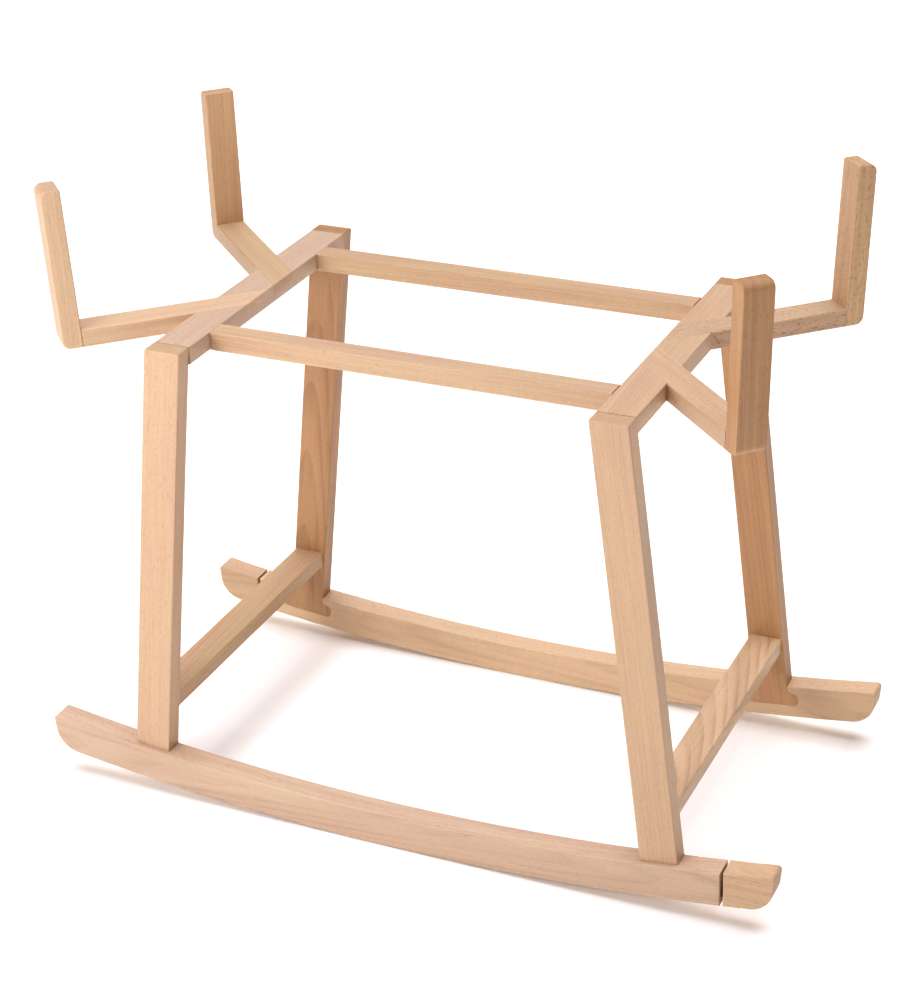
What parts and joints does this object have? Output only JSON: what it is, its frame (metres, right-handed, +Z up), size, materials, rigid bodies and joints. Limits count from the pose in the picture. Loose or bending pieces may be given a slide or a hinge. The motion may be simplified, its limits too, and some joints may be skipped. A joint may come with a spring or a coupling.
{
  "type": "rocking stand for carry basket",
  "caption": "Wooden rocking stand for a carry basket: two curved rockers, splayed leg frames, crossbars, diagonal arms with uprights, and swivelling rocker end stops.",
  "frame": {"origin": "on the floor under the middle of the stand, where both rockers touch it", "axes": "+X along the rockers to the right, +Y to the rear, +Z up"},
  "size_m": [0.815, 0.394, 0.673],
  "materials": {
    "beech": "clear matt lacquered solid beech, eased edges",
    "dowel_beech": "bare turned beech dowel",
    "zinc_steel": "bright zinc plated steel",
    "cam_zinc": "die-cast zinc, as cast",
    "nylon": "black moulded nylon",
    "brass": "turned brass"
  },
  "bodies": {
    "stand": {"rocker_front": "beech", "rocker_rear": "beech", "leg_front_left": "beech", "leg_front_right": "beech", "leg_rear_left": "beech", "leg_rear_right": "beech", "top_rail_left": "beech", "top_rail_right": "beech", "stretcher_left": "beech", "stretcher_right": "beech", "crossbar_front": "beech", "crossbar_rear": "beech", "arm_front_left": "beech", "arm_front_right": "beech", "arm_rear_left": "beech", "arm_rear_right": "beech", "upright_front_left": "beech", "upright_front_right": "beech", "upright_rear_left": "beech", "upright_rear_right": "beech", "rail_dowels": "dowel_beech", "stretcher_dowels": "dowel_beech", "upright_dowels": "dowel_beech", "crossbar_dowels": "dowel_beech", "cam_bolts": "zinc_steel", "arm_screws": "zinc_steel", "rocker_bolts": "zinc_steel", "leg_inserts": "zinc_steel", "stop_pins": "zinc_steel", "cam_discs": "cam_zinc", "stop_washers": "nylon"},
    "stop_front": {"stop_block_front": "beech", "stop_bush_front": "brass"},
    "stop_rear": {"stop_block_rear": "beech", "stop_bush_rear": "brass"}
  },
  "joints": [
    {"name": "front_stop_turn", "type": "hinge", "parent": "stand", "child": "stop_front", "pos_m": [0.357, -0.184, 0.035], "axis": [1, 0, 0], "range_deg": [0, 180]},
    {"name": "rear_stop_turn", "type": "hinge", "parent": "stand", "child": "stop_rear", "pos_m": [-0.357, 0.184, 0.035], "axis": [-1, 0, 0], "range_deg": [0, 180]}
  ]
}
